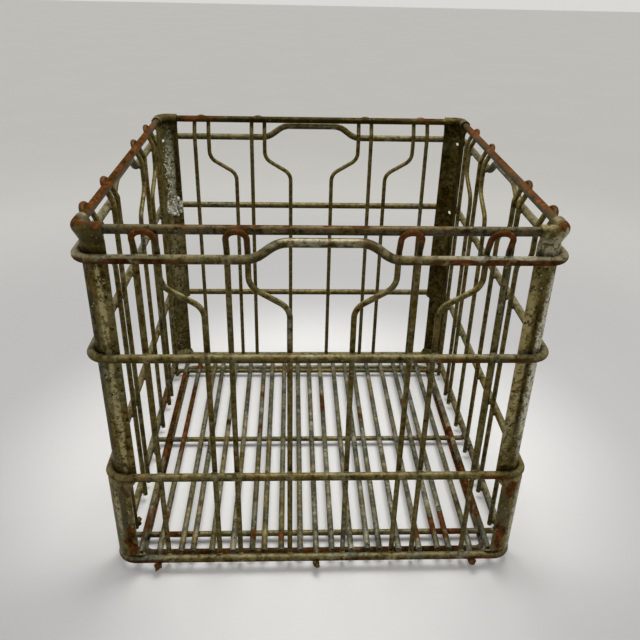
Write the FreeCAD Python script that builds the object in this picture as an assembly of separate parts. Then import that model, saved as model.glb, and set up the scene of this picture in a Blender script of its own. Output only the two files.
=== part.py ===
"""Welded wire milk bottle crate.

Millimetres, +Z up, origin on the ground under the centre of the crate.
Four alike walls: five hoops of round wire, four corner posts of bent sheet and
sixteen hairpin wires. The floor is a bent frame, three cross wires laid over it
and twenty-one wires over those, three of which hook under the bottom hoop.
"""
import FreeCAD
import Part

import math
import os

V = FreeCAD.Vector

# ---- driving dimensions ---------------------------------------------------
CRATE_WIDTH = 330.0          # over the outside of the wall hoops, both ways
HOOP_WIRE = 6.35             # rim, handle, band and bottom hoops
HAIRPIN_WIRE = 4.1
FLOOR_WIRE = 5.0
POST_SHEET = 1.5

BOTTOM_HOOP_Z = 11.5         # centreline heights above the ground
LOWER_BAND_Z = 98.5
UPPER_BAND_Z = 205.5
HANDLE_HOOP_Z = 280.5
RIM_Z = 299.5

POST_CORNER_RADIUS = 10.0    # outer face of the post, above the lower band
POST_FLANGE_END = 140.0      # free edge of each flange, from the crate's centre
POST_LOWER_EDGE = 144.8      # the same below the lower band
POST_LOWER_FACE = 164.3      # outer face of the post below the lower band
RIM_INSET = 0.8              # rim centreline, inwards of the post's outer face
POST_LEAN = 26.0             # degrees that the head leans out to reach the rim
HEAD_WRAP_END = 190.0        # where the roll round the rim ends, from outside
TOE_LEAN = 45.0              # degrees that the toe leans in over the bottom hoop
TOE_WRAP_END = 205.0
JOGGLE_TOP_Z = 97.1          # where the sheet starts to step out at 45 degrees
TRIM_TOP_Z = 89.5            # the lower flange is narrower between these heights
TRIM_FOOT_Z = 19.5
TRIM_SLOPE = 6.0
TRIM_CLEARANCE = 1.0         # the cut starts this much beyond the flange's edge
POST_HOLE_RADIUS = 2.0
POST_HOLE_Z = (277.3, 200.9)

GRIP_RISE = 12.0             # the handle hoop lifts this much at mid side
GRIP_FLAT_HALF = 29.5        # half the level top of the grip
GRIP_RAMP_HALF = 45.5        # half the grip's length at its foot
GRIP_BEND = 20.0

HAIRPIN_FOOT_Z = 7.0
HAIRPIN_LEAN_Z = 284.4       # above this the hairpin leans out over the rim
HAIRPIN_APEX_Z = 300.5
HAIRPIN_LEAN = math.radians(25.0)
HAIRPIN_LEAN_BEND = 6.0
SHIFT_TOP_Z = 259.0          # the inner leg's sideways shift
SHIFT_FOOT_Z = 242.5
SHIFT_BEND = 13.0
# distance of the straight leg, the top of the shifted leg and its lower run
# from the middle of the wall, for the outer and the inner hairpin of each half
HAIRPIN_LEGS = {
    "outer": (122.3, 107.8, 80.1),
    "inner": (63.0, 49.5, 22.0),
}

FLOOR_FRAME_HALF = 146.2
FLOOR_FRAME_BEND = 8.0
FLOOR_WIRE_END = 156.1
CROSS_WIRE_Y = 131.0
# distance of the floor wires from the middle one, as unevenly as they were laid
FLOOR_WIRE_OFFSETS = (13.3, 29.4, 43.6, 53.6, 69.9, 87.3, 103.0, 112.8, 130.8, 146.2)
TIE_OFFSETS = (0.0, 130.8)   # the wires that hook under the bottom hoop
TIE_DROP = (151.0, 158.0)    # where a tie starts to drop, and is level again
TIE_BEND = 8.0
TIE_CURL = 75.0              # degrees that the hook climbs the hoop's outer face

# ---- derived --------------------------------------------------------------
HOOP_R = HOOP_WIRE / 2
HAIRPIN_R = HAIRPIN_WIRE / 2
FLOOR_R = FLOOR_WIRE / 2
HOOP_HALF = CRATE_WIDTH / 2 - HOOP_R            # hoop centreline from the centre
POST_FACE = HOOP_HALF - HOOP_R                  # outer face of the upper post
HOOP_BEND = POST_CORNER_RADIUS + HOOP_R
ARC_CENTRE = POST_FACE - POST_CORNER_RADIUS     # axis of every rounded corner
RIM_HALF = POST_FACE - RIM_INSET                # rim centreline
RIM_BEND = RIM_HALF - ARC_CENTRE
LEG_HALF = POST_FACE - HAIRPIN_R                # hairpin leg centreline
FRAME_Z = FLOOR_R
CROSS_Z = FRAME_Z + FLOOR_WIRE
FLOOR_Z = CROSS_Z + FLOOR_WIRE
WALLS = ("front", "right", "back", "left")
SHORTEST_RUN = 0.01                             # two bends nearer than this meet
SWEEP_TOLERANCE = 0.02                          # of the swept volume


def bent_path(points, bends, closed=False):
    """Wire through the points, each corner rounded to its bend radius."""
    count = len(points)
    corners = []
    for index, point in enumerate(points):
        radius = bends[index]
        is_end = not closed and index in (0, count - 1)
        if is_end or radius == 0:
            corners.append((point, None, point))
            continue
        back = (points[index - 1] - point).normalize()
        ahead = (points[(index + 1) % count] - point).normalize()
        half_angle = back.getAngle(ahead) / 2
        reach = radius / math.tan(half_angle)
        centre = point + (back + ahead).normalize() * (radius / math.sin(half_angle))
        middle = centre + (point - centre).normalize() * radius
        corners.append((point + back * reach, middle, point + ahead * reach))
    edges = []
    for index, (start, middle, end) in enumerate(corners):
        if middle is not None:
            edges.append(Part.Arc(start, middle, end).toShape())
        is_last = index == count - 1
        if is_last and not closed:
            continue
        following = corners[(index + 1) % count][0]
        if end.distanceToPoint(following) > SHORTEST_RUN:
            edges.append(Part.LineSegment(end, following).toShape())
    return Part.Wire(edges)


def bent_wire(points, bends, diameter, closed=False):
    """Round wire swept along a bent path."""
    path = bent_path(points, bends, closed)
    first = path.Edges[0]
    start = first.valueAt(first.FirstParameter)
    heading = first.tangentAt(first.FirstParameter)
    section = Part.Wire([Part.makeCircle(diameter / 2, start, heading)])
    solid = path.makePipeShell([section], True, False)
    expected = math.pi * diameter ** 2 / 4 * path.Length
    if abs(solid.Volume / expected - 1) > SWEEP_TOLERANCE:
        raise ValueError("the swept volume isn't the wire's")
    return solid


def turned(shape, quarter_turns):
    """Copy of a front-wall shape, turned to another wall."""
    copy = shape.copy()
    copy.rotate(V(0, 0, 0), V(0, 0, 1), 90 * quarter_turns)
    return copy


def plain_hoop(half, height, bend, diameter):
    """Rounded square ring; it starts half way along the front."""
    corners = [
        V(half, -half, height),
        V(half, half, height),
        V(-half, half, height),
        V(-half, -half, height),
    ]
    points = [V(0, -half, height)] + corners
    return bent_wire(points, [0] + [bend] * 4, diameter, closed=True)


def handle_hoop():
    """Ring that lifts into a level hand grip in the middle of each side."""
    low = HANDLE_HOOP_Z
    high = HANDLE_HOOP_Z + GRIP_RISE
    side = [
        (V(0, -HOOP_HALF, high), 0),
        (V(GRIP_FLAT_HALF, -HOOP_HALF, high), GRIP_BEND),
        (V(GRIP_RAMP_HALF, -HOOP_HALF, low), GRIP_BEND),
        (V(HOOP_HALF, -HOOP_HALF, low), HOOP_BEND),
        (V(HOOP_HALF, -GRIP_RAMP_HALF, low), GRIP_BEND),
        (V(HOOP_HALF, -GRIP_FLAT_HALF, high), GRIP_BEND),
    ]
    points = []
    bends = []
    for quarter in range(4):
        turn = FreeCAD.Rotation(V(0, 0, 1), 90 * quarter)
        for point, bend in side:
            points.append(turn.multVec(point))
            bends.append(bend)
    return bent_wire(points, bends, HOOP_WIRE, closed=True)


def hairpin(kind, sign):
    """Inverted U of wire on the front wall; sign picks the half of the wall."""
    straight, upper, lower = HAIRPIN_LEGS[kind]
    apex_y = LEG_HALF + (HAIRPIN_APEX_Z - HAIRPIN_LEAN_Z) * math.tan(HAIRPIN_LEAN)
    arch = (straight - upper) / 2
    points = [
        V(sign * straight, -LEG_HALF, HAIRPIN_FOOT_Z),
        V(sign * straight, -LEG_HALF, HAIRPIN_LEAN_Z),
        V(sign * straight, -apex_y, HAIRPIN_APEX_Z),
        V(sign * upper, -apex_y, HAIRPIN_APEX_Z),
        V(sign * upper, -LEG_HALF, HAIRPIN_LEAN_Z),
        V(sign * upper, -LEG_HALF, SHIFT_TOP_Z),
        V(sign * lower, -LEG_HALF, SHIFT_FOOT_Z),
        V(sign * lower, -LEG_HALF, HAIRPIN_FOOT_Z),
    ]
    bends = [0, HAIRPIN_LEAN_BEND, arch, arch, HAIRPIN_LEAN_BEND, SHIFT_BEND, SHIFT_BEND, 0]
    return bent_wire(points, bends, HAIRPIN_WIRE)


def on_circle(centre, radius, degrees):
    """Point (u, z) on a circle, the angle measured from the outward side."""
    angle = math.radians(degrees)
    return (centre[0] + radius * math.cos(angle), centre[1] + radius * math.sin(angle))


def profile_line(first, last):
    return Part.LineSegment(V(first[0], 0, first[1]), V(last[0], 0, last[1])).toShape()


def profile_arc(centre, radius, start, stop):
    middle = (start + stop) / 2
    points = [on_circle(centre, radius, degrees) for degrees in (start, middle, stop)]
    return Part.Arc(*[V(u, 0, z) for u, z in points]).toShape()


def post_profile():
    """Edge-on section of a post: u runs outwards from the crate's centre.

    From the top: a roll round the rim, a lean back to the upright face, a step
    out under the lower band, and a toe that leans in over the bottom hoop and
    rolls down its inner side.
    """
    rim = (RIM_HALF, RIM_Z)
    foot = (HOOP_HALF, BOTTOM_HOOP_Z)
    near = HOOP_R
    far = HOOP_R + POST_SHEET
    back = POST_FACE - POST_SHEET
    low_back = POST_LOWER_FACE - POST_SHEET
    rise = math.tan(math.radians(90 - POST_LEAN))
    head_out = on_circle(rim, far, -POST_LEAN)
    head_in = on_circle(rim, near, -POST_LEAN)
    crease_out = (POST_FACE, head_out[1] - (head_out[0] - POST_FACE) * rise)
    crease_in = (back, head_in[1] - (head_in[0] - back) * rise)
    step = POST_LOWER_FACE - POST_FACE
    mitre = POST_SHEET * math.tan(math.radians(45) / 2)
    toe_start = 180 - TOE_LEAN
    toe_near = on_circle(foot, near, toe_start)
    toe_far = on_circle(foot, far, toe_start)
    bend_out = (POST_LOWER_FACE, toe_near[1] + POST_LOWER_FACE - toe_near[0])
    bend_in = (low_back, toe_far[1] + low_back - toe_far[0])
    outline = [
        profile_arc(rim, far, HEAD_WRAP_END, -POST_LEAN),
        profile_line(head_out, crease_out),
        profile_line(crease_out, (POST_FACE, JOGGLE_TOP_Z)),
        profile_line((POST_FACE, JOGGLE_TOP_Z), (POST_LOWER_FACE, JOGGLE_TOP_Z - step)),
        profile_line((POST_LOWER_FACE, JOGGLE_TOP_Z - step), bend_out),
        profile_line(bend_out, toe_near),
        profile_arc(foot, near, toe_start, TOE_WRAP_END),
        profile_line(on_circle(foot, near, TOE_WRAP_END), on_circle(foot, far, TOE_WRAP_END)),
        profile_arc(foot, far, TOE_WRAP_END, toe_start),
        profile_line(toe_far, bend_in),
        profile_line(bend_in, (low_back, JOGGLE_TOP_Z - step - mitre)),
        profile_line((low_back, JOGGLE_TOP_Z - step - mitre), (back, JOGGLE_TOP_Z - mitre)),
        profile_line((back, JOGGLE_TOP_Z - mitre), crease_in),
        profile_line(crease_in, head_in),
        profile_arc(rim, near, -POST_LEAN, HEAD_WRAP_END),
        profile_line(on_circle(rim, near, HEAD_WRAP_END), on_circle(rim, far, HEAD_WRAP_END)),
    ]
    return Part.Face(Part.Wire(outline))


def flange_trim():
    """Prism that narrows the right-hand flange below the lower band."""
    beyond = POST_FLANGE_END - TRIM_CLEARANCE
    outline = [
        V(0, -beyond, TRIM_TOP_Z + TRIM_SLOPE),
        V(0, -POST_LOWER_EDGE, TRIM_TOP_Z),
        V(0, -POST_LOWER_EDGE, TRIM_FOOT_Z),
        V(0, -beyond, TRIM_FOOT_Z - TRIM_SLOPE),
    ]
    face = Part.Face(Part.makePolygon(outline + outline[:1]))
    face.translate(V(ARC_CENTRE, 0, 0))
    return face.extrude(V(CRATE_WIDTH, 0, 0))


def corner_post():
    """Post at the front right corner: two flanges and the rounded corner."""
    profile = post_profile()
    profile.translate(V(0, -ARC_CENTRE, 0))
    straight = ARC_CENTRE - POST_FLANGE_END
    right_flange = profile.extrude(V(0, straight, 0))
    axis_foot = V(ARC_CENTRE, -ARC_CENTRE, 0)
    corner = profile.revolve(axis_foot, V(0, 0, 1), -90)
    mirror_normal = V(1, 1, 0)
    front_flange = right_flange.mirror(V(0, 0, 0), mirror_normal)
    post = right_flange.fuse([corner, front_flange]).removeSplitter()
    trim = flange_trim()
    post = post.cut([trim, trim.mirror(V(0, 0, 0), mirror_normal)])
    outwards = V(1, -1, 0).normalize()
    for height in POST_HOLE_Z:
        start = V(ARC_CENTRE, -ARC_CENTRE, height)
        post = post.cut(Part.makeCylinder(POST_HOLE_RADIUS, 2 * POST_CORNER_RADIUS, start, outwards))
    return post.Solids[0]


def floor_wire(x):
    """Straight wire along Y, laid on the cross wires."""
    points = [V(x, -FLOOR_WIRE_END, FLOOR_Z), V(x, FLOOR_WIRE_END, FLOOR_Z)]
    return bent_wire(points, [0, 0], FLOOR_WIRE)


def tie_end(x, side):
    """Points and bends of one end of a tie, from the floor to its tip."""
    reach = HOOP_R + FLOOR_R
    under_z = BOTTOM_HOOP_Z - reach
    curl = math.radians(TIE_CURL)
    leg = reach * math.tan(curl / 2)
    corner_y = HOOP_HALF + leg
    tip_y = corner_y + leg * math.cos(curl)
    tip_z = under_z + leg * math.sin(curl)
    return [
        (V(x, side * TIE_DROP[0], FLOOR_Z), TIE_BEND),
        (V(x, side * TIE_DROP[1], under_z), TIE_BEND),
        (V(x, side * corner_y, under_z), reach),
        (V(x, side * tip_y, tip_z), 0),
    ]


def tie_wire(x):
    """Floor wire whose ends pass under the bottom hoop and hook up round it."""
    route = tie_end(x, -1)[::-1] + tie_end(x, 1)
    points = [point for point, bend in route]
    bends = [bend for point, bend in route]
    return bent_wire(points, bends, FLOOR_WIRE)


def cross_wire(y):
    """Wire over the frame's sides; its ends butt against the bottom hoop."""
    drop = BOTTOM_HOOP_Z - CROSS_Z - FLOOR_R
    half = HOOP_HALF - math.sqrt(HOOP_R ** 2 - drop ** 2)
    return bent_wire([V(-half, y, CROSS_Z), V(half, y, CROSS_Z)], [0, 0], FLOOR_WIRE)


def export(name, shape):
    if not shape.isValid() or len(shape.Solids) != 1:
        raise ValueError(name + " is not one valid solid")
    shape.exportStep("parts/" + name + ".step")


def main():
    os.makedirs("parts", exist_ok=True)
    export("top_rim_hoop", plain_hoop(RIM_HALF, RIM_Z, RIM_BEND, HOOP_WIRE))
    export("handle_hoop", handle_hoop())
    export("upper_band_hoop", plain_hoop(HOOP_HALF, UPPER_BAND_Z, HOOP_BEND, HOOP_WIRE))
    export("lower_band_hoop", plain_hoop(HOOP_HALF, LOWER_BAND_Z, HOOP_BEND, HOOP_WIRE))
    export("bottom_hoop", plain_hoop(HOOP_HALF, BOTTOM_HOOP_Z, HOOP_BEND, HOOP_WIRE))

    post = corner_post()
    for quarter, place in enumerate(("front_right", "back_right", "back_left", "front_left")):
        export("corner_post_" + place, turned(post, quarter))

    for wall, wall_name in enumerate(WALLS):
        number = 0
        for kind, sign in (("outer", -1), ("inner", -1), ("inner", 1), ("outer", 1)):
            number += 1
            export("hairpin_%s_%d" % (wall_name, number), turned(hairpin(kind, sign), wall))

    export("floor_frame", plain_hoop(FLOOR_FRAME_HALF, FRAME_Z, FLOOR_FRAME_BEND, FLOOR_WIRE))
    for place, y in (("front", -CROSS_WIRE_Y), ("middle", 0.0), ("back", CROSS_WIRE_Y)):
        export("floor_cross_wire_" + place, cross_wire(y))

    offsets = (0.0,) + FLOOR_WIRE_OFFSETS
    places = sorted(set([-x for x in offsets] + list(offsets)))
    for number, x in enumerate(places, start=1):
        if abs(x) in TIE_OFFSETS:
            export("floor_tie_wire_%02d" % number, tie_wire(x))
        else:
            export("floor_wire_%02d" % number, floor_wire(x))


main()
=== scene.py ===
"""Looks of the welded wire milk bottle crate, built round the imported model.

Metres, +Z up, origin on the ground under the centre of the crate.
"""
import math
import random

import bmesh
import bpy
from mathutils import Matrix, Vector, noise


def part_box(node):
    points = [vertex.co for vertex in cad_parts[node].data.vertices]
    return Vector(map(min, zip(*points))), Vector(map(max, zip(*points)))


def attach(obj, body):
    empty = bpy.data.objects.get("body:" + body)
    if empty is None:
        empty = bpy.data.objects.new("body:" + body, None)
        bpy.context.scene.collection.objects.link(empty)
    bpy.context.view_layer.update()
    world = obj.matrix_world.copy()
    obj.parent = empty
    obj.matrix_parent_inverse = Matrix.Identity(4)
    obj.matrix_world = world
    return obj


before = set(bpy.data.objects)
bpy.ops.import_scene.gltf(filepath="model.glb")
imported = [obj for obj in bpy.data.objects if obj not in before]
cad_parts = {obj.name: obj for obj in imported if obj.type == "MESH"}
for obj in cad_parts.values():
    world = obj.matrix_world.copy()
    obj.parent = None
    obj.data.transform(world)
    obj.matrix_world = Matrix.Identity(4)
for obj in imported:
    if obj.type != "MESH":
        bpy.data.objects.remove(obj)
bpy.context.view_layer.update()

MM = 0.001

# ---- camera and set ---------------------------------------------------------
CAMERA_PLACE = (-20.96 * MM, -572.49 * MM, 459.61 * MM)
CAMERA_YAW = math.radians(2.698)
CAMERA_PITCH = math.radians(28.50)
CAMERA_ROLL = math.radians(1.366)
CAMERA_SENSOR = 36.0
CAMERA_LENS = 38.78
CAMERA_NEAR = 0.01
FLOOR_HALF = 6.0

# ---- crate dimensions used by the added pieces ------------------------------
HOOP_R = 3.175 * MM
FLOOR_R = 2.5 * MM
POST_FACE = 158.65 * MM
POST_CORNER_AXIS = 148.65 * MM
POST_INNER_RADIUS = 8.5 * MM
# each hairpin's straight leg, shifted leg at the top and shifted leg below,
# from the middle of the wall
HAIRPIN_LEGS = ((122.3 * MM, 107.8 * MM, 80.1 * MM), (63.0 * MM, 49.5 * MM, 22.0 * MM))
LEFT_WALL = 3                # quarter turns from the front wall

# ---- colours ----------------------------------------------------------------
DARK_ZINC = (0.020, 0.014, 0.002)
# painted shade colour for the back left collar
DEEP_OLIVE_SHADE = (0.055, 0.043, 0.012)
MOSS_ZINC = (0.075, 0.058, 0.017)
OLIVE_ZINC = (0.095, 0.076, 0.017)
BROWN_ZINC = (0.120, 0.090, 0.052)
KHAKI_ZINC = (0.185, 0.152, 0.056)
TAN_ZINC = (0.355, 0.308, 0.170)
# painted highlight colour for the front left post
DULL_TAN_HIGHLIGHT = (0.360, 0.330, 0.200)
BRASSY_ZINC = (0.400, 0.325, 0.150)
# painted highlight colours for the front left post
SAND_HIGHLIGHT = (0.420, 0.355, 0.175)
STRAW_HIGHLIGHT = (0.440, 0.375, 0.185)
BLUE_ZINC = (0.054, 0.060, 0.044)
GREY_ZINC = (0.165, 0.160, 0.108)
# painted highlight colour for the back left post
GREEN_GREY_HIGHLIGHT = (0.400, 0.400, 0.270)
# painted highlight colour for the front right post
CHALKY_HIGHLIGHT = (0.420, 0.385, 0.250)
WORN_ZINC = (0.460, 0.430, 0.290)
PALE_ZINC = (0.600, 0.570, 0.440)
LIGHT_ZINC = (0.660, 0.640, 0.520)
BRIGHT_ZINC = (0.860, 0.840, 0.740)
BROWN_STAIN = (1.0, 0.78, 0.45)
DARK_RUST = (0.028, 0.013, 0.003)
BROWN_RUST = (0.064, 0.028, 0.007)
RED_RUST = (0.118, 0.041, 0.013)
ORANGE_RUST = (0.235, 0.085, 0.028)

OLIVE_TONES = [(0.36, DARK_ZINC), (0.455, OLIVE_ZINC), (0.55, KHAKI_ZINC), (0.68, TAN_ZINC)]
GREY_TONES = [(0.34, DARK_ZINC), (0.44, BLUE_ZINC), (0.54, GREY_ZINC), (0.68, PALE_ZINC)]
RUST_TONES = [(0.43, DARK_RUST), (0.49, BROWN_RUST), (0.56, RED_RUST), (0.64, ORANGE_RUST)]

# floor colours: a painted pool of light where the crate stands (near), painted shade round it (middle),
# and paler again far out (far)
FLOOR_NEAR = (0.96, 0.96, 0.96)
FLOOR_MIDDLE = (0.565, 0.565, 0.57)
FLOOR_FAR = (0.82, 0.81, 0.785)
FLOOR_MOTTLE = (0.6, 0.6, 0.62)
FLOOR_NEAR_EDGE, FLOOR_FAR_EDGE = (0.16, 0.36), (0.40, 0.90)    # metres from the middle
FLOOR_NOISE, FLOOR_MOTTLE_RANGE = (120, 3, 0.5), (0.35, 0.65, 0.0, 0.05)
FLOOR_ROUGHNESS, FLOOR_SPECULAR = 0.85, 0.1

SKY_ABOVE = (0.62, 0.615, 0.60)
SKY_SIDES = (1.00, 0.99, 0.96)
SKY_BACK = (0.70, 0.69, 0.67)
SKY_FRONT = (0.08, 0.076, 0.068)
# parts of the direction over which one sky turns into the next
FRONT_TO_BACK, TO_SIDES, TO_ABOVE = (-0.75, 0.25), (0.55, 0.85), (0.35, 0.80)

# ---- grain of the metal -----------------------------------------------------
# size in millimetres, detail, roughness, shift and warp of each noise
NOISES = {
    "broad": (34, 4, 0.6, (0, 0, 0), 0.4),
    "patch": (12, 4, 0.62, (0.3, 0.1, 0.7), 0.3),
    "grain": (2.6, 5, 0.75, (0.9, 0.4, 0.2), 0.0),
    "fine": (1.0, 2, 0.6, (0.5, 0.8, 0.1), 0.0),
    "stain": (19, 4, 0.68, (0.2, 0.9, 0.5), 0.4),
    "pit": (2.0, 2, 0.6, (0.7, 0.3, 0.8), 0.0),
    "glint": (1.6, 2, 0.5, (0.2, 0.6, 0.4), 0.0),
}
BLOB_SCALE = 0.6             # noise scale times blob size
BLOB_RIM, BLOB_CORE = 1.0, 0.45       # a patch fades in from its rim to its core
RAGGED_SIZE, RAGGED_DETAIL = 6, 3.0   # of the noise that makes a patch's edge ragged
RAGGED_REACH = (0.014, 0.014, 0.014)
TINT_REACH = (0.0015, 0.0015, 0.014)

# a range is where an effect starts and where it is full; a second pair is what it
# goes from and to. Facing is the upward part of the normal.
GREY_START, GREY_FULL, GREY_GAIN = 0.62, 0.80, 0.35
STAIN_RANGE = (0.44, 0.64, 0.0, 0.75)
# tan on upward faces is partly real dust and partly a painted highlight; dark on downward faces is partly
# real grime and partly painted shade
DUST_AND_HIGHLIGHT_FACING, DUST_AND_HIGHLIGHT_GRAIN = (0.25, 0.95), (0.32, 0.60)
GRIME_AND_SHADE_FACING, GRIME_AND_SHADE_PATCH = (0.35, -0.30), (0.15, 0.55, 0.55, 1.0)
TINT_GRAIN = (0.42, 0.55, 0.12, 1.0)
PIT_RANGE = (0.61, 0.68)
GLINT_RANGE, GLINT_SHARE = (0.66, 0.74), 0.55
WELD_MARK_REACH, WELD_MARK_GRAIN = (5 * MM, 1.5 * MM), (0.42, 0.60)
WELD_MARK_SHARE = 0.45

RUST_MIX = (("broad", 0.30), ("patch", 0.28), ("grain", 0.42))
RUST_EDGE, RUST_GAIN = 0.74, 0.22     # rust starts at this level, lower on a rustier piece
RUST_RISE = 0.07                      # and is full this much above it
RUST_HALO, HALO_SHARE = 0.12, 0.65    # brown stain below the edge
FRESH_START, FRESH_END, FRESH_LIFT = 0.02, 0.10, 0.05   # redder rust just above the edge
RUST_TONE_MIX = (("grain", 0.6), ("patch", 0.4))
SPOT_BOOST = 0.30
SPOT_FACING = {"under": (0.80, 0.20), "top": (-0.30, 0.40)}
RUST_TOPS_FACING = (0.45, 0.95)

SPECULAR = 0.08
ROUGHNESS_RANGE = (0.3, 0.7, 0.44, 0.62)
RUST_ROUGHNESS = 0.35
GRAIN_RELIEF, FINE_RELIEF, CRUST_RELIEF = 0.6, 0.25, 0.6
RELIEF_STRENGTH = 0.55
RELIEF_DEPTH = 0.35 * MM


# ---- node helpers -----------------------------------------------------------
class Tree:
    """Short ways of adding nodes to a material."""

    def __init__(self, name):
        self.material = bpy.data.materials.new(name)
        self.material.use_nodes = True
        self.nodes = self.material.node_tree.nodes
        self.links = self.material.node_tree.links
        self.nodes.clear()
        self.output = self.nodes.new("ShaderNodeOutputMaterial")
        self.shader = self.nodes.new("ShaderNodeBsdfPrincipled")
        self.links.new(self.shader.outputs[0], self.output.inputs["Surface"])
        self.place = self.nodes.new("ShaderNodeTexCoord").outputs["Object"]
        self.normal = self.nodes.new("ShaderNodeNewGeometry").outputs["Normal"]

    def put(self, value, socket):
        if isinstance(value, bpy.types.NodeSocket):
            self.links.new(value, socket)
        else:
            socket.default_value = value

    def math(self, operation, a, b=0.0, clamp=False):
        node = self.nodes.new("ShaderNodeMath")
        node.operation = operation
        node.use_clamp = clamp
        self.put(a, node.inputs[0])
        self.put(b, node.inputs[1])
        return node.outputs[0]

    def vector(self, operation, a, b=None):
        node = self.nodes.new("ShaderNodeVectorMath")
        node.operation = operation
        self.put(a, node.inputs[0])
        if b is not None:
            self.put(b, node.inputs[1])
        return node.outputs["Value" if operation == "LENGTH" else "Vector"]

    def split(self, vector):
        node = self.nodes.new("ShaderNodeSeparateXYZ")
        self.put(vector, node.inputs[0])
        return node.outputs

    def noise(self, size, detail=3.0, rough=0.55, shift=(0, 0, 0), warp=0.0):
        """Noise whose blobs are about `size` millimetres across."""
        node = self.nodes.new("ShaderNodeTexNoise")
        node.inputs["Scale"].default_value = BLOB_SCALE / (size * MM)
        node.inputs["Detail"].default_value = detail
        node.inputs["Roughness"].default_value = rough
        node.inputs["Distortion"].default_value = warp
        self.put(self.vector("ADD", self.place, shift), node.inputs["Vector"])
        return node.outputs["Fac"]

    def raggedness(self):
        """Noise in three channels about zero, to make the edge of a patch ragged."""
        node = self.nodes.new("ShaderNodeTexNoise")
        node.inputs["Scale"].default_value = BLOB_SCALE / (RAGGED_SIZE * MM)
        node.inputs["Detail"].default_value = RAGGED_DETAIL
        self.put(self.place, node.inputs["Vector"])
        return self.vector("SUBTRACT", node.outputs["Color"], (0.5, 0.5, 0.5))

    def step(self, value, low, high, out_low=0.0, out_high=1.0, smooth=True):
        node = self.nodes.new("ShaderNodeMapRange")
        node.interpolation_type = "SMOOTHSTEP" if smooth else "LINEAR"
        node.inputs["From Min"].default_value = low
        node.inputs["From Max"].default_value = high
        node.inputs["To Min"].default_value = out_low
        node.inputs["To Max"].default_value = out_high
        self.put(value, node.inputs["Value"])
        return node.outputs["Result"]

    def ramp(self, value, stops):
        node = self.nodes.new("ShaderNodeValToRGB")
        elements = node.color_ramp.elements
        while len(elements) < len(stops):
            elements.new(0.5)
        for element, (position, colour) in zip(elements, stops):
            element.position = position
            element.color = (*colour, 1)
        self.put(value, node.inputs["Fac"])
        return node.outputs["Color"]

    def mix(self, share, a, b, blend="MIX"):
        node = self.nodes.new("ShaderNodeMix")
        node.data_type = "RGBA"
        node.blend_type = blend
        self.put(share, node.inputs["Factor"])
        self.put((*a, 1) if isinstance(a, tuple) else a, node.inputs["A"])
        self.put((*b, 1) if isinstance(b, tuple) else b, node.inputs["B"])
        return node.outputs["Result"]

    def weighted(self, parts):
        """Sum of the fields, each times its weight."""
        total = None
        for field, weight in parts:
            part = self.math("MULTIPLY", field, weight)
            total = part if total is None else self.math("ADD", total, part)
        return total

    def blob(self, where, centre, size, strength):
        """`strength` at the centre of an ellipsoid patch in millimetres, 0 outside it."""
        offset = self.vector("SUBTRACT", where, tuple(c * MM for c in centre))
        scaled = self.vector("DIVIDE", offset, tuple(s * MM for s in size))
        inside = self.step(self.vector("LENGTH", scaled), BLOB_RIM, BLOB_CORE)
        return self.math("MULTIPLY", inside, strength)


# ---- the metal --------------------------------------------------------------
def bare_colour(t, fields, facing, grey, tan, grime_and_shade, light, mottle):
    """Mottled olive and grey zinc with brown stains, dust and a painted highlight above, and grime and
    painted shade below.
    """
    tone = t.weighted(((fields["patch"], mottle), (fields["grain"], 1 - mottle)))
    tone = t.math("ADD", tone, light)
    grey_share = t.step(fields["broad"], GREY_START - GREY_GAIN * grey, GREY_FULL - GREY_GAIN * grey)
    colour = t.mix(grey_share, t.ramp(tone, OLIVE_TONES), t.ramp(tone, GREY_TONES))
    stain = t.step(fields["stain"], *STAIN_RANGE)
    colour = t.mix(stain, colour, BROWN_STAIN, "MULTIPLY")

    # tan on upward faces: partly dust, partly a painted highlight
    dust_and_highlight = t.math("MULTIPLY", t.step(facing, *DUST_AND_HIGHLIGHT_FACING), t.step(fields["grain"], *DUST_AND_HIGHLIGHT_GRAIN))
    colour = t.mix(t.math("MULTIPLY", dust_and_highlight, tan, True), colour, TAN_ZINC)
    # dark on downward faces: partly grime, partly painted shade
    grime_and_shade_mask = t.math("MULTIPLY", t.step(facing, *GRIME_AND_SHADE_FACING), t.step(fields["patch"], *GRIME_AND_SHADE_PATCH))
    return t.mix(t.math("MULTIPLY", grime_and_shade_mask, grime_and_shade, True), colour, DARK_ZINC)


def specked(t, fields, colour, speckle):
    """The colour with small dark pits and pale glints."""
    pits = t.math("MULTIPLY", t.step(fields["pit"], *PIT_RANGE), speckle, True)
    colour = t.mix(pits, colour, DARK_ZINC)
    glints = t.math("MULTIPLY", t.step(fields["glint"], *GLINT_RANGE), speckle * GLINT_SHARE, True)
    return t.mix(glints, colour, PALE_ZINC)


def rust_level(t, fields, facing, where, spots, clean, rust_tops, arch):
    """Field that rusts the metal where it rises past the rust edge."""
    level = t.weighted([(fields[name], weight) for name, weight in RUST_MIX])
    boost = None
    for centre, size, strength, side in spots:
        share = t.blob(where, centre, size, strength)
        if side in SPOT_FACING:
            share = t.math("MULTIPLY", share, t.step(facing, *SPOT_FACING[side]))
        boost = share if boost is None else t.math("MAXIMUM", boost, share)
    if rust_tops:
        tops = t.math("MULTIPLY", t.step(facing, *RUST_TOPS_FACING), rust_tops)
        level = t.math("ADD", level, tops)
    if arch is not None:
        low, high, strength = arch
        rise = t.step(t.split(where)[2], low * MM, high * MM, 0.0, strength)
        level = t.math("ADD", level, rise)
    if boost is not None:
        level = t.math("ADD", level, t.math("MULTIPLY", boost, SPOT_BOOST))
    for centre, size, strength in clean:
        level = t.math("SUBTRACT", level, t.blob(where, centre, size, strength))
    return level


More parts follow.
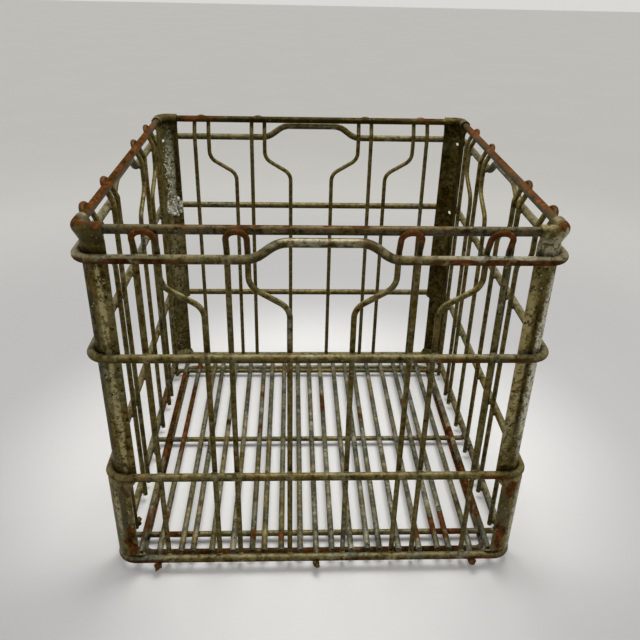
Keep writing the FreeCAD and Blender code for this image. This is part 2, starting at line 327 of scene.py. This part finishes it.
def weld_marked(t, fields, colour):
    """The colour with a tan mark wherever a hairpin leg crosses the hoop."""
    x, y, _ = t.split(t.vector("ABSOLUTE", t.place))
    along = t.math("MINIMUM", x, y)
    nearest = None
    for straight, _, lower in HAIRPIN_LEGS:
        for leg in (straight, lower):
            gap = t.math("ABSOLUTE", t.math("SUBTRACT", along, leg))
            nearest = gap if nearest is None else t.math("MINIMUM", nearest, gap)
    mark = t.step(nearest, *WELD_MARK_REACH)
    mark = t.math("MULTIPLY", mark, t.step(fields["grain"], *WELD_MARK_GRAIN))
    return t.mix(t.math("MULTIPLY", mark, WELD_MARK_SHARE), colour, TAN_ZINC)


def metal(name, grey=0.4, tan=0.5, rust=0.2, grime_and_shade=0.6, speckle=0.5, spots=(), clean=(), tints=(),
          rust_tops=0.0, weld_marks=False, arch=None, bump=1.0, light=0.0, mottle=0.35, metallic=0.70):
    """Weathered zinc: mottled olive and grey, dust and painted highlight above, grime and painted shade
    below, rust in patches.

    `spots` rust, as (centre, half-size, strength, side) in millimetres; side is "all",
    "top" or "under". `tints` are (centre, half-size, strength, colour), and some of them
    are painted highlights and painted shade; `clean` patches, which keep rust away, are
    (centre, half-size, strength). `arch` is the heights between which rust sets in, and
    how strongly.
    """
    t = Tree(name)
    facing = t.split(t.normal)[2]
    fields = {key: t.noise(*values) for key, values in NOISES.items()}
    grain, fine = fields["grain"], fields["fine"]
    ragged = t.raggedness()
    where = t.vector("ADD", t.place, t.vector("MULTIPLY", ragged, RAGGED_REACH))
    tint_where = t.vector("ADD", t.place, t.vector("MULTIPLY", ragged, TINT_REACH))

    colour = bare_colour(t, fields, facing, grey, tan, grime_and_shade, light, mottle)
    for centre, size, strength, paint in tints:
        share = t.blob(tint_where, centre, size, strength)
        share = t.math("MULTIPLY", share, t.step(grain, *TINT_GRAIN), True)
        colour = t.mix(share, colour, paint)
    colour = specked(t, fields, colour, speckle)

    level = rust_level(t, fields, facing, where, spots, clean, rust_tops, arch)
    edge = RUST_EDGE - RUST_GAIN * rust
    rusted = t.step(level, edge, edge + RUST_RISE)
    fresh = t.step(level, edge + FRESH_START, edge + FRESH_END, FRESH_LIFT, 0.0)
    rust_tone = t.weighted([(fields[name], weight) for name, weight in RUST_TONE_MIX])
    rust_colour = t.ramp(t.math("ADD", rust_tone, fresh), RUST_TONES)
    halo = t.math("MULTIPLY", t.step(level, edge - RUST_HALO, edge), HALO_SHARE)
    colour = t.mix(halo, colour, BROWN_RUST)
    colour = t.mix(rusted, colour, rust_colour)
    if weld_marks:
        colour = weld_marked(t, fields, colour)

    t.put(colour, t.shader.inputs["Base Color"])
    bare = t.math("SUBTRACT", 1.0, rusted)
    t.put(t.math("MULTIPLY", bare, SPECULAR), t.shader.inputs["Specular IOR Level"])
    t.put(t.math("MULTIPLY", bare, metallic), t.shader.inputs["Metallic"])
    rough = t.step(grain, *ROUGHNESS_RANGE, smooth=False)
    rough = t.math("ADD", rough, t.math("MULTIPLY", rusted, RUST_ROUGHNESS), True)
    t.put(rough, t.shader.inputs["Roughness"])

    crust = t.math("MULTIPLY", rusted, fine)
    relief = t.weighted(((grain, GRAIN_RELIEF), (fine, FINE_RELIEF), (crust, CRUST_RELIEF)))
    node = t.nodes.new("ShaderNodeBump")
    node.inputs["Strength"].default_value = RELIEF_STRENGTH * bump
    node.inputs["Distance"].default_value = RELIEF_DEPTH
    t.put(relief, node.inputs["Height"])
    t.put(node.outputs["Normal"], t.shader.inputs["Normal"])
    return t.material


def floor_material():
    """Pale cloth with a painted pool of light where the crate stands and painted shade round it, paler
    again far out.
    """
    t = Tree("pale_floor")
    distance = t.vector("LENGTH", t.vector("MULTIPLY", t.place, (1, 1, 0)))
    # painted pool of light in the middle, painted shade round it, paler again far out
    colour = t.mix(t.step(distance, *FLOOR_NEAR_EDGE), FLOOR_NEAR, FLOOR_MIDDLE)
    colour = t.mix(t.step(distance, *FLOOR_FAR_EDGE), colour, FLOOR_FAR)
    mottle = t.step(t.noise(*FLOOR_NOISE), *FLOOR_MOTTLE_RANGE)
    t.put(t.mix(mottle, colour, FLOOR_MOTTLE), t.shader.inputs["Base Color"])
    t.shader.inputs["Roughness"].default_value = FLOOR_ROUGHNESS
    t.shader.inputs["Specular IOR Level"].default_value = FLOOR_SPECULAR
    return t.material


# ---- materials of the CAD nodes ---------------------------------------------
rim = metal(
    "rim_weathered", grey=0.40, tan=0.0, rust=0.14, rust_tops=0.08, grime_and_shade=0.6, speckle=0.35, light=-0.05,
    tints=[
        # painted shade: the back run of the rim darkened
        ((0, 158, 300.5), (150, 10, 10), 1.5, DARK_ZINC),
        ((0, -158, 299.5), (260, 12, 12), 0.7, BROWN_ZINC),
    ],
    spots=[
        ((-158, -10, 301.5), (14, 190, 12), 1.0, "top"),
        ((158, -30, 301.5), (14, 190, 12), 0.62, "top"),
        ((158, 110, 301.5), (12, 40, 10), 0.7, "top"),
        ((-118, 158, 299.5), (30, 9, 9), 0.95, "all"),
        ((122, 158, 299.5), (20, 9, 9), 0.9, "all"),
        ((0, -155, 303.5), (150, 6, 4), 0.80, "top"),
    ],
    clean=[((0, 158, 299.5), (95, 12, 12), 0.25)],
)
# the handle's whole tone is raised and its upward faces carry strong tan, as painted highlight
handle = metal(
    "handle_weathered", grey=0.50, tan=1.1, rust=0.02, grime_and_shade=0.80, speckle=0.45, light=0.035,
    weld_marks=True,
    tints=[
        # painted highlight: pale bands along the top of the front handle
        ((0, -162, 296), (95, 9, 5), 0.45, PALE_ZINC),
        ((120, -162, 284), (45, 9, 4), 0.7, PALE_ZINC),
    ],
    spots=[
        ((-128, -162, 278.0), (50, 9, 10), 1.5, "under"),
        ((112, -162, 278.5), (72, 9, 11), 1.7, "under"),
        ((160, -150, 279), (9, 20, 9), 1.2, "under"),
        ((30, -162, 293.5), (8, 9, 6), 0.75, "all"),
    ],
)
upper_band = metal(
    "upper_band_weathered", grey=0.35, tan=0.48, rust=0.04, grime_and_shade=0.75, speckle=0.5, weld_marks=True,
    spots=[
        ((92, -162, 203.5), (42, 9, 9), 1.1, "under"),
        ((138, -162, 203.5), (20, 9, 9), 1.0, "under"),
        ((30, -162, 205.5), (10, 9, 6), 0.6, "all"),
    ],
)
lower_band = metal(
    "lower_band_weathered", grey=0.30, tan=0.35, rust=0.03, grime_and_shade=0.75, speckle=0.5, weld_marks=True,
    spots=[
        ((134, -162, 96.5), (26, 9, 8), 1.2, "under"),
        ((-30, -162, 98.5), (8, 9, 6), 0.5, "all"),
    ],
)
bottom = metal(
    "bottom_hoop_weathered", grey=0.45, tan=0.40, rust=0.06, grime_and_shade=0.80, speckle=0.55, light=-0.02,
    weld_marks=True,
    spots=[
        ((-140, -160, 8.5), (48, 12, 7), 1.4, "under"),
        ((134, -160, 8.5), (40, 12, 7), 1.4, "under"),
        ((-60, -160, 8.5), (70, 12, 6), 1.5, "under"),
        ((40, -160, 8.5), (70, 12, 6), 1.5, "under"),
        ((-162, 60, 11.5), (12, 80, 8), 0.9, "all"),
    ],
)

hairpin_front = metal(
    "hairpin_front_weathered", grey=0.22, tan=0.45, rust=0.10, grime_and_shade=0.3, speckle=0.5,
    arch=(277, 300, 0.30), mottle=0.25,
)
hairpin_side = metal(
    "hairpin_side_weathered", grey=0.30, tan=0.10, rust=0.10, grime_and_shade=0.3, speckle=0.45,
    arch=(280, 304, 0.26), mottle=0.25, light=-0.01,
)
hairpin_back = metal(
    "hairpin_back_weathered", grey=0.20, tan=0.40, rust=0.05, grime_and_shade=0.3, speckle=0.4,
    arch=(290, 304, 0.26), mottle=0.25, light=-0.01,
)

floor_grey = metal(
    "floor_wire_weathered", grey=0.85, tan=0.10, rust=0.30, grime_and_shade=0.5, speckle=0.9, light=0.015,
    mottle=0.5,
    spots=[
        ((-53, 72, 12), (5, 16, 6), 1.5, "all"),
        ((-53, 10, 12), (5, 16, 6), 1.3, "all"),
        ((-70, 80, 12), (5, 10, 6), 1.3, "all"),
        ((-87, 20, 12), (5, 8, 6), 1.2, "all"),
        ((-103, 20, 12), (5, 8, 6), 1.2, "all"),
        ((-53, -134, 12), (6, 16, 6), 1.2, "all"),
        ((-29, -140, 12), (6, 10, 6), 0.8, "all"),
        ((13, 52, 12), (6, 30, 6), 0.9, "all"),
        ((53, 30, 12), (6, 12, 6), 0.9, "all"),
        ((103, -130, 12), (6, 20, 6), 1.4, "all"),
        ((113, -130, 12), (6, 24, 6), 1.6, "all"),
        ((87, -138, 12), (6, 12, 6), 0.9, "all"),
        ((103, 55, 12), (6, 10, 6), 1.3, "all"),
        ((131, 148, 12), (10, 10, 8), 0.9, "all"),
        ((146, 0, 12), (6, 14, 6), 1.2, "all"),
        ((146, -80, 12), (6, 70, 6), 1.2, "all"),
        ((131, -165, 6), (9, 10, 8), 1.0, "all"),
        ((0, -168, 6), (7, 9, 8), 1.6, "all"),
    ],
)
floor_rusty = metal(
    "floor_wire_rusty", grey=0.70, tan=0.30, rust=0.36, grime_and_shade=0.4, speckle=0.6,
    spots=[
        ((-146, 40, 12), (9, 115, 8), 1.9, "all"),
        ((-131, 28, 12), (8, 85, 8), 1.8, "all"),
        ((-148, -125, 12), (6, 34, 8), 0.7, "all"),
        ((-131, -122, 12), (8, 14, 8), 1.3, "all"),
        ((-131, 140, 12), (9, 22, 12), 1.3, "all"),
        ((-131, -166, 6), (9, 10, 8), 1.6, "all"),
    ],
)
floor_olive = metal(
    "floor_frame_weathered", grey=0.45, tan=0.30, rust=0.30, grime_and_shade=0.7, speckle=0.5,
    spots=[
        ((118, -131, 8), (22, 8, 8), 1.6, "all"),
        ((-125, -131, 8), (12, 8, 8), 1.2, "all"),
        ((-100, -146, 3), (60, 8, 6), 1.1, "all"),
        ((0, -146, 3), (90, 8, 6), 0.9, "all"),
        ((90, -146, 3), (70, 8, 6), 1.1, "all"),
        ((146, 0, 3), (8, 150, 6), 1.3, "all"),
        ((-146, -60, 3), (8, 90, 6), 1.1, "all"),
    ],
)

POST_SPOTS = [
    ((-149, -165, 30), (5.5, 8, 32), 1.45, "all"),
    ((150, -165, 32), (4.5, 8, 30), 1.4, "all"),
    ((153, -164, 83.5), (6, 8, 12), 1.2, "all"),
    ((-150, -165, 87.5), (4, 8, 8), 0.7, "all"),
    ((-162, -155, 303.5), (9, 16, 6), 1.0, "top"),
    ((-150, -160, 304.5), (20, 9, 4), 0.8, "top"),
    ((158, -156, 304.5), (12, 14, 6), 1.1, "top"),
    ((-162, 158, 303.5), (8, 12, 6), 0.9, "top"),
    ((160, 158, 303.5), (9, 12, 6), 0.9, "top"),
    ((-150, -163, 272.5), (20, 8, 5), 0.5, "all"),
]
# tints of the front posts: most are painted highlights, painted shade and painted dark reflections; the
# collars are tinted too
FRONT_POST_PAINTED_LIGHT_AND_TINTS = [
    # front left post: a painted highlight strip where the flat face meets the rounded corner
    ((-147.2, -158, 236.5), (2.9, 7, 60), 1.3, STRAW_HIGHLIGHT),
    ((-147.2, -158, 151.5), (3.2, 7, 80), 1.2, SAND_HIGHLIGHT),
    # painted shade over the front left post's rounded corner
    ((-156.5, -155, 236.5), (6.0, 9, 80), 1.0, DARK_ZINC),
    ((-157, -155, 151.5), (5.0, 9, 80), 0.8, DARK_ZINC),
    ((-155, -158, 297), (24, 24, 22), 1.3, MOSS_ZINC),
    # painted shade in the crease at the foot of the front left collar
    ((-155, -158, 284.5), (24, 24, 3.5), 1.0, DARK_ZINC),
    ((155, -158, 290), (24, 24, 13), 0.9, WORN_ZINC),
    # front left post below the joggle: a painted dark reflection, with painted highlights either side of
    # it
    ((-152, -164, 56.5), (3.6, 7, 46), 0.85, BLUE_ZINC),
    ((-143, -164, 61.5), (3, 7, 40), 1.3, TAN_ZINC),
    ((-156.5, -158, 61.5), (3.5, 8, 44), 1.3, DULL_TAN_HIGHLIGHT),
    # front right post: a tan flat face, a painted highlight on the rounded corner and painted shade along
    # the line between them
    ((142.5, -158, 191.5), (5.5, 7, 100), 1.1, BRASSY_ZINC),
    ((155.0, -155, 191.5), (6.5, 9, 95), 1.6, PALE_ZINC),
    ((148.6, -158, 191.5), (1.9, 7, 90), 1.0, DARK_ZINC),
    # front right post below the joggle: a painted dark reflection on the flat face and a painted
    # highlight on the rounded corner
    ((149, -164, 51.5), (6, 7, 48), 0.85, BLUE_ZINC),
    ((161, -158, 51.5), (6, 9, 50), 1.2, CHALKY_HIGHLIGHT),
]
BACK_LEFT_POST_PAINTED_LIGHT_AND_TINTS = [
    # painted shade over the back left collar
    ((-155, 158, 300), (24, 24, 12), 1.5, DEEP_OLIVE_SHADE),
    # painted highlight strip up the back left post's inner corner
    ((-150, 157, 245), (5.5, 9, 56), 1.4, GREEN_GREY_HIGHLIGHT),
    ((-149, 157, 206), (12, 9, 13), 1.8, LIGHT_ZINC),
    ((-151, 157, 140), (10, 9, 70), 0.55, TAN_ZINC),
    ((-143, 157, 241), (3, 9, 70), 1.0, DARK_ZINC),
]
post = metal(
    "post_weathered", grey=0.20, tan=0.45, rust=0.10, grime_and_shade=0.2, speckle=0.95,
    spots=POST_SPOTS, tints=FRONT_POST_PAINTED_LIGHT_AND_TINTS,
)
post_dark = metal(
    "post_dark", grey=0.10, tan=0.10, rust=0.06, grime_and_shade=0.3, speckle=0.4, light=-0.07,
    spots=POST_SPOTS,
)
post_rough = metal(
    "post_rough", grey=0.30, tan=0.45, rust=0.10, grime_and_shade=0.2, speckle=1.3, light=-0.02,
    bump=3.2, metallic=0.15, spots=POST_SPOTS, tints=BACK_LEFT_POST_PAINTED_LIGHT_AND_TINTS,
)

# the first look whose name a node's name starts with
LOOKS = (
    ("top_rim_hoop", rim),
    ("handle_hoop", handle),
    ("upper_band_hoop", upper_band),
    ("lower_band_hoop", lower_band),
    ("bottom_hoop", bottom),
    ("corner_post_back_right", post_dark),
    ("corner_post_back_left", post_rough),
    ("corner_post", post),
    ("hairpin_front", hairpin_front),
    ("hairpin_back", hairpin_back),
    ("hairpin", hairpin_side),
    ("floor_wire_01", floor_rusty),
    ("floor_tie_wire_02", floor_rusty),
    ("floor_wire_03", floor_rusty),
    ("floor_wire", floor_grey),
    ("floor_tie", floor_grey),
    ("floor", floor_olive),
)
for name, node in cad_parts.items():
    look = next(look for start, look in LOOKS if name.startswith(start))
    node.data.materials.clear()
    node.data.materials.append(look)

# ---- weld metal -------------------------------------------------------------
weld_look = metal("weld_metal", grey=0.35, tan=0.55, rust=0.18, grime_and_shade=0.5, speckle=0.6, bump=1.4)
weld_rusty = metal(
    "weld_metal_rusty", grey=0.2, tan=0.1, rust=0.80, grime_and_shade=0.6, speckle=0.3, bump=1.4, light=-0.03,
)
weld_bright = metal(
    "weld_metal_bright", grey=1.4, tan=0.9, rust=0.0, grime_and_shade=0.1, speckle=0.2, bump=1.4, light=0.10,
    metallic=0.0, tints=[((-150, 152, 205), (60, 60, 90), 1.6, BRIGHT_ZINC)],
)

RANDOM_SEED = 11
LUMP_WAVES = 1.7             # bulges over a lump's radius
NUGGET_DEPTH = 1.9 * MM      # out of the wall
FLOOR_NUGGET_HEIGHT = 1.5 * MM
FRAME_NUGGET = (3 * MM, 3 * MM, 1.6 * MM)
CROSS_END_NUGGET = (2.2 * MM, 3.2 * MM, 2.2 * MM)
JITTER = 0.3                 # millimetres either way
SPATTER_ANGLES = (88, 150)   # round the post's corner
SPATTER_FLANGE_X = (-149.0, -141.5)
SPATTER_FLANGE_CHANCE = 0.5
SPATTER_FLATNESS, SPATTER_STRETCH = 0.55, (0.7, 1.2)
LUMPS_AT_HOOK, LUMPS_AT_FOOT, FOOT_CHANCE = 4, 3, 0.55

rng = random.Random(RANDOM_SEED)


def random_mm(low, high):
    return rng.uniform(low, high) * MM


def turned(point, wall):
    """A front-wall point, moved to another wall by quarter turns."""
    x, y, z = point
    for _ in range(wall):
        x, y = -y, x
    return Vector((x, y, z))


def add_lump(bm, centre, radii, rough=0.22, detail=2):
    """A lump of weld metal: an uneven ellipsoid."""
    made = bmesh.ops.create_icosphere(bm, subdivisions=detail, radius=1.0)
    seed = Vector((rng.uniform(0, 99), rng.uniform(0, 99), rng.uniform(0, 99)))
    for vertex in made["verts"]:
        bulge = 1 + rough * noise.noise(vertex.co * LUMP_WAVES + seed)
        spot = Vector(c * r for c, r in zip(vertex.co * bulge, radii))
        vertex.co = spot + Vector(centre)


def piece(name, bm, look):
    mesh = bpy.data.meshes.new(name)
    bm.to_mesh(mesh)
    bm.free()
    for polygon in mesh.polygons:
        polygon.use_smooth = True
    mesh.materials.append(look)
    obj = bpy.data.objects.new(name, mesh)
    bpy.context.scene.collection.objects.link(obj)
    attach(obj, "root")


def middle_height(node):
    low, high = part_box(node)
    return (low.z + high.z) / 2


def nodes_named(*starts):
    return [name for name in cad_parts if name.startswith(starts)]


# nuggets where a hairpin's straight leg, and its other leg as it runs at that
# height, meet each hoop
STRAIGHT, SHIFTED_TOP, SHIFTED_LOWER = 0, 1, 2
HOOP_LEVELS = (
    ("handle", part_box("handle_hoop")[0].z + HOOP_R, SHIFTED_TOP),
    ("upper_band", middle_height("upper_band_hoop"), SHIFTED_LOWER),
    ("lower_band", middle_height("lower_band_hoop"), SHIFTED_LOWER),
    ("bottom", middle_height("bottom_hoop"), SHIFTED_LOWER),
)
for level, height, other_leg in HOOP_LEVELS:
    bm = bmesh.new()
    for wall in range(4):
        for legs in HAIRPIN_LEGS:
            for along in (legs[STRAIGHT], legs[other_leg]):
                for sign in (-1, 1):
                    reach = random_mm(2.5, 3.2)
                    jitter = random_mm(-JITTER, JITTER)
                    spot = turned((sign * along + jitter, -POST_FACE, height + jitter), wall)
                    faces_y = wall % 2 == 0
                    size = (reach, NUGGET_DEPTH, reach) if faces_y else (NUGGET_DEPTH, reach, reach)
                    add_lump(bm, spot, size)
    piece("weld_nuggets_" + level, bm, weld_look)

# nuggets between the floor's layers, and where the cross wires meet the frame
# and the bottom hoop
FRAME_TOP_Z = 2 * FLOOR_R
CROSS_TOP_Z = 4 * FLOOR_R
CROSS_END_Z = 9 * MM
CROSS_END_X = POST_FACE + 0.6 * MM
frame_side_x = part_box("floor_frame")[1].x - FLOOR_R
cross_levels = [
    sum(corner.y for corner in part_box("floor_cross_wire_" + place)) / 2
    for place in ("front", "middle", "back")
]
bm = bmesh.new()
for name in nodes_named("floor_wire", "floor_tie"):
    low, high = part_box(name)
    x = (low.x + high.x) / 2
    for y in cross_levels:
        reach = random_mm(2.2, 2.9)
        spot = (x + random_mm(-JITTER, JITTER), y, CROSS_TOP_Z)
        add_lump(bm, spot, (reach, reach, FLOOR_NUGGET_HEIGHT), rough=0.35)
for y in cross_levels:
    for side in (-1, 1):
        add_lump(bm, (side * frame_side_x, y, FRAME_TOP_Z), FRAME_NUGGET, rough=0.35)
        add_lump(bm, (side * CROSS_END_X, y, CROSS_END_Z), CROSS_END_NUGGET, rough=0.4)
piece("weld_nuggets_floor", bm, weld_rusty)

# spatter inside the back left post: a cluster level with the upper band, and
# smaller beads up the corner
band_z = middle_height("upper_band_hoop")
SPATTER = (                  # count, lowest, highest, biggest bead in mm, on the flange too
    (46, band_z - 11 * MM, band_z + 9 * MM, 2.3, True),
    (70, band_z, band_z + 68 * MM, 1.1, False),
)
bm = bmesh.new()
for count, low_z, high_z, biggest, on_flange in SPATTER:
    for _ in range(count):
        angle = math.radians(rng.uniform(*SPATTER_ANGLES))
        height = rng.uniform(low_z, high_z)
        x = -POST_CORNER_AXIS + POST_INNER_RADIUS * math.cos(angle)
        y = POST_CORNER_AXIS + POST_INNER_RADIUS * math.sin(angle)
        if on_flange and rng.random() < SPATTER_FLANGE_CHANCE:
            x, y = random_mm(*SPATTER_FLANGE_X), POST_CORNER_AXIS + POST_INNER_RADIUS
        size = random_mm(0.6, biggest)
        radii = (size, SPATTER_FLATNESS * size, size * rng.uniform(*SPATTER_STRETCH))
        add_lump(bm, (x, y, height), radii, rough=0.5, detail=1)
piece("weld_spatter_back_left", bm, weld_bright)

# lumps where the ties hook up round the bottom hoop, and at the feet of some
# of the left wall's legs
bm = bmesh.new()
for name in nodes_named("floor_tie"):
    low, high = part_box(name)
    x = (low.x + high.x) / 2
    for side, tip in ((-1, low.y), (1, high.y)):
        for _ in range(LUMPS_AT_HOOK):
            spot = (x + random_mm(-2.2, 2.2), tip - side * random_mm(0.5, 4), low.z + random_mm(3, 7))
            add_lump(bm, spot, [random_mm(1.1, 1.8) for _ in "xyz"], rough=0.5)
for legs in HAIRPIN_LEGS:
    for along in (legs[STRAIGHT], legs[SHIFTED_LOWER]):
        for sign in (-1, 1):
            if rng.random() >= FOOT_CHANCE:
                continue
            for _ in range(LUMPS_AT_FOOT):
                spot = (sign * along + random_mm(-2, 2), -POST_FACE + random_mm(3, 5.5), random_mm(8, 15))
                radii = [random_mm(1.6, 2.8) for _ in "xyz"]
                add_lump(bm, turned(spot, LEFT_WALL), radii, rough=0.5)
piece("weld_lumps_bottom", bm, weld_rusty)


# ---- camera, floor, lights --------------------------------------------------
def add_camera():
    data = bpy.data.cameras.new("camera")
    data.sensor_width = CAMERA_SENSOR
    data.lens = CAMERA_LENS
    data.clip_start = CAMERA_NEAR
    camera = bpy.data.objects.new("camera", data)
    bpy.context.scene.collection.objects.link(camera)
    forward = Vector((
        math.sin(CAMERA_YAW) * math.cos(CAMERA_PITCH),
        math.cos(CAMERA_YAW) * math.cos(CAMERA_PITCH),
        -math.sin(CAMERA_PITCH),
    ))
    level_right = Vector((math.cos(CAMERA_YAW), -math.sin(CAMERA_YAW), 0))
    level_up = level_right.cross(forward)
    right = math.cos(CAMERA_ROLL) * level_right + math.sin(CAMERA_ROLL) * level_up
    up = -math.sin(CAMERA_ROLL) * level_right + math.cos(CAMERA_ROLL) * level_up
    turn = Matrix((right, up, -forward)).transposed().to_4x4()
    camera.matrix_world = Matrix.Translation(CAMERA_PLACE) @ turn
    return camera


def add_floor():
    bm = bmesh.new()
    bmesh.ops.create_grid(bm, x_segments=2, y_segments=2, size=FLOOR_HALF)
    mesh = bpy.data.meshes.new("floor")
    bm.to_mesh(mesh)
    bm.free()
    mesh.materials.append(floor_material())
    floor = bpy.data.objects.new("floor", mesh)
    bpy.context.scene.collection.objects.link(floor)


def studio_world():
    """Soft light all round, bright at both sides and dim on the camera's side."""
    world = bpy.data.worlds.new("world")
    world.use_nodes = True
    nodes, links = world.node_tree.nodes, world.node_tree.links
    background = nodes["Background"]
    direction = nodes.new("ShaderNodeTexCoord").outputs["Generated"]
    split = nodes.new("ShaderNodeSeparateXYZ")
    links.new(direction, split.inputs[0])

    def share(socket, low, high):
        node = nodes.new("ShaderNodeMapRange")
        node.interpolation_type = "SMOOTHSTEP"
        node.inputs["From Min"].default_value = low
        node.inputs["From Max"].default_value = high
        links.new(socket, node.inputs["Value"])
        return node.outputs["Result"]

    def mix(factor, a, b):
        node = nodes.new("ShaderNodeMix")
        node.data_type = "RGBA"
        links.new(factor, node.inputs["Factor"])
        for value, socket in ((a, node.inputs["A"]), (b, node.inputs["B"])):
            if isinstance(value, tuple):
                socket.default_value = (*value, 1)
            else:
                links.new(value, socket)
        return node.outputs["Result"]

    x, y, z = split.outputs
    sideways = nodes.new("ShaderNodeMath")
    sideways.operation = "ABSOLUTE"
    links.new(x, sideways.inputs[0])
    around = mix(share(y, *FRONT_TO_BACK), SKY_FRONT, SKY_BACK)
    around = mix(share(sideways.outputs[0], *TO_SIDES), around, SKY_SIDES)
    sky = mix(share(z, *TO_ABOVE), around, SKY_ABOVE)
    links.new(sky, background.inputs["Color"])
    background.inputs["Strength"].default_value = 1.0
    bpy.context.scene.world = world


def area_light(name, place, aim, size, power, colour, spread):
    data = bpy.data.lights.new(name, "AREA")
    data.shape = "SQUARE"
    data.size = size
    data.spread = math.radians(spread)
    data.energy = power
    data.color = colour
    obj = bpy.data.objects.new(name, data)
    bpy.context.scene.collection.objects.link(obj)
    obj.location = place
    obj.visible_camera = False
    obj.rotation_euler = (Vector(aim) - Vector(place)).to_track_quat("-Z", "Y").to_euler()


bpy.context.scene.camera = add_camera()
add_floor()
studio_world()
bpy.context.scene.view_settings.view_transform = "Standard"
area_light(
    "overhead", place=(0.05, 0.09, 0.85), aim=(0, 0, 0), size=0.46, power=2.1,
    colour=(1.0, 0.99, 0.965), spread=125,
)
